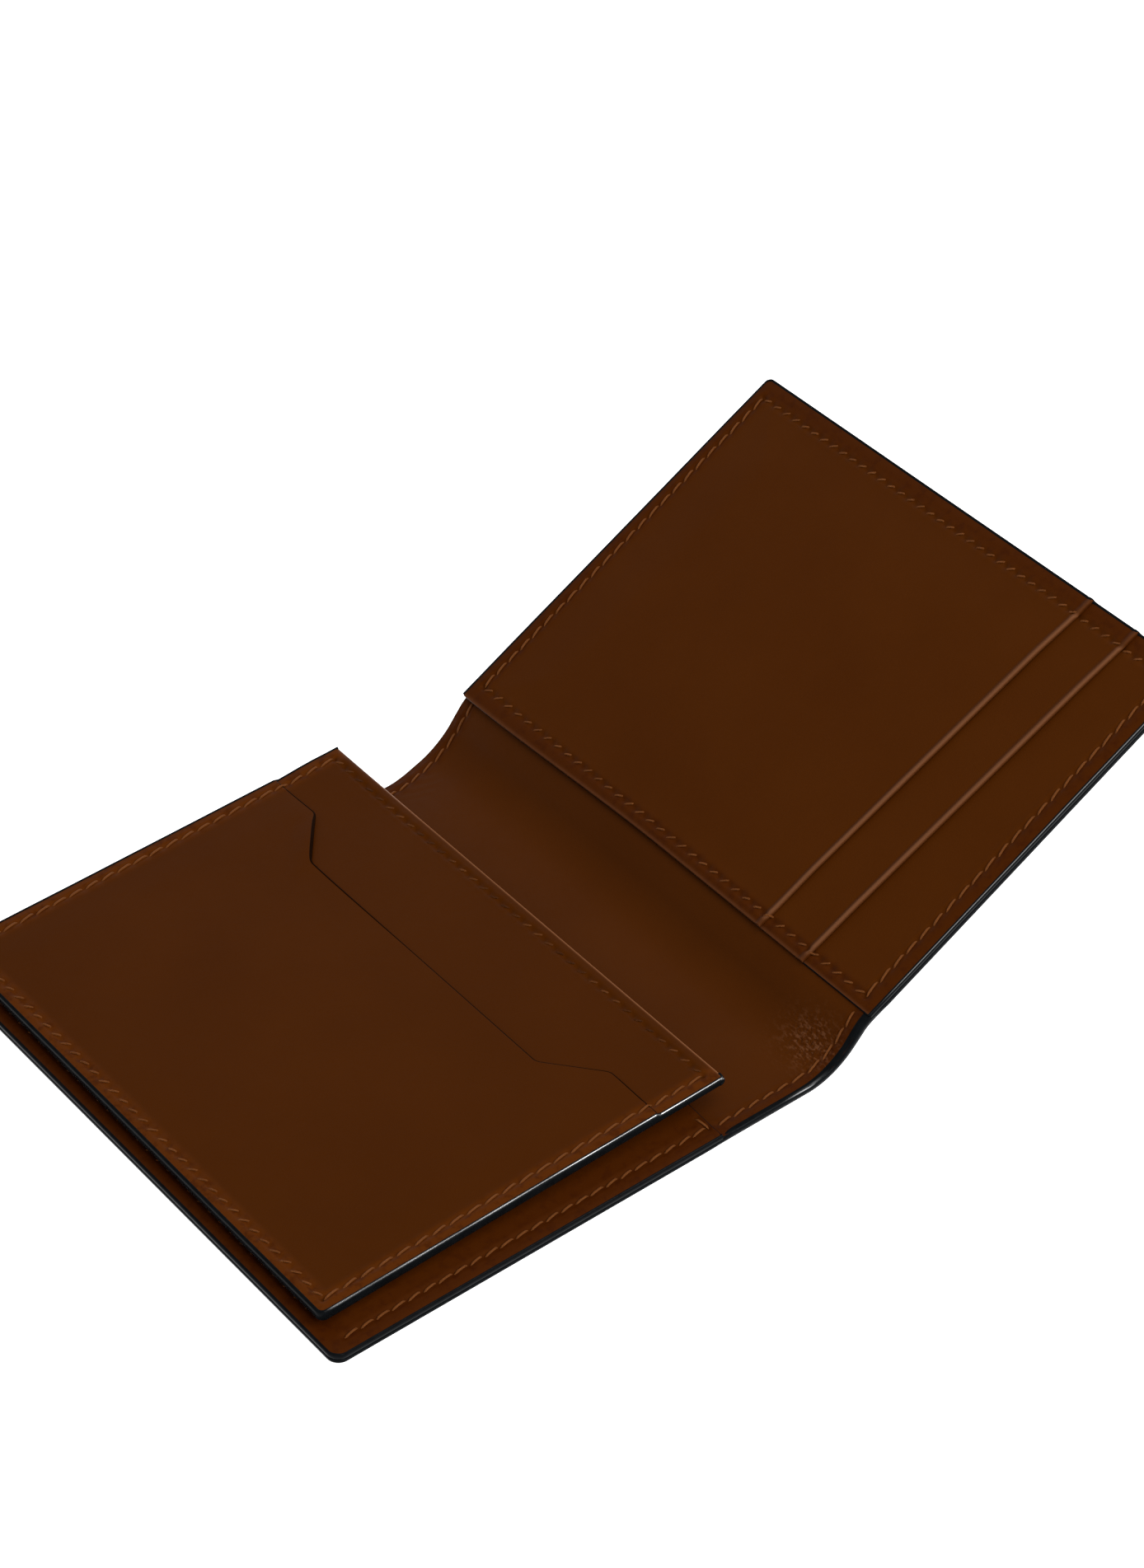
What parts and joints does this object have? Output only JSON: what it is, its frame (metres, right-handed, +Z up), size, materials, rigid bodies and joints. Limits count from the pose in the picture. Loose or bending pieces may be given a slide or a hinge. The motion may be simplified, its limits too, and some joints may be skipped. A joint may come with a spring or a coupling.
{
  "type": "bifold wallet",
  "caption": "Bifold wallet in brown leather, open, with stepped card pockets, a note compartment and a removable card holder with a thumb cut",
  "frame": {"origin": "middle of the bounding box in X and Y, at the underside of the left cover that rests on the table", "axes": "+X from the left cover to the right cover, +Y along the spine from the note opening to the closed edge, +Z up"},
  "size_m": [0.209, 0.1312, 0.0578],
  "materials": {
    "brown_leather": "smooth, semi-matt, painted black at cut edges",
    "black_leather": "smooth, semi-matt",
    "pocket_cloth": "fine plain weave",
    "thread": "waxed thread"
  },
  "bodies": {
    "left_cover": {"outer_cover_left": "black_leather", "note_lining_left": "brown_leather", "slip_pocket_panel": "brown_leather", "slip_pocket_seam_thread": "thread"},
    "spine": {"outer_cover_spine": "black_leather", "note_lining_spine": "brown_leather"},
    "right_cover": {"outer_cover_riser": "black_leather", "note_lining_riser": "brown_leather", "outer_cover_right": "black_leather", "note_lining_right": "brown_leather", "card_panel_backing": "brown_leather", "card_pocket_lining_middle": "pocket_cloth", "card_pocket_middle": "brown_leather", "card_pocket_lining_front": "pocket_cloth", "card_pocket_front": "brown_leather", "card_panel_seam_thread": "thread"},
    "card_holder": {"holder_back_panel": "brown_leather", "holder_front_panel": "brown_leather", "holder_folded_edge": "brown_leather", "holder_divider": "pocket_cloth", "holder_pocket_face": "brown_leather", "holder_seam_thread": "thread", "holder_tongue_leaf": "brown_leather", "holder_tongue_fold": "brown_leather", "holder_tongue_tab": "brown_leather"}
  },
  "joints": [
    {"name": "spine_fold", "type": "hinge", "parent": "left_cover", "child": "spine", "pos_m": [-0.00185, -0.0026, 0.0015], "axis": [0, -1, 0], "range_deg": [0, 90]},
    {"name": "cover_fold", "type": "hinge", "parent": "spine", "child": "right_cover", "pos_m": [0.01336, -0.0026, 0.0015], "axis": [0, -1, 0], "range_deg": [-28.4, 61.6]},
    {"name": "holder_slide", "type": "slide", "parent": "left_cover", "child": "card_holder", "axis": [0, 1, 0], "range_m": [-0.006, 0.112]}
  ]
}
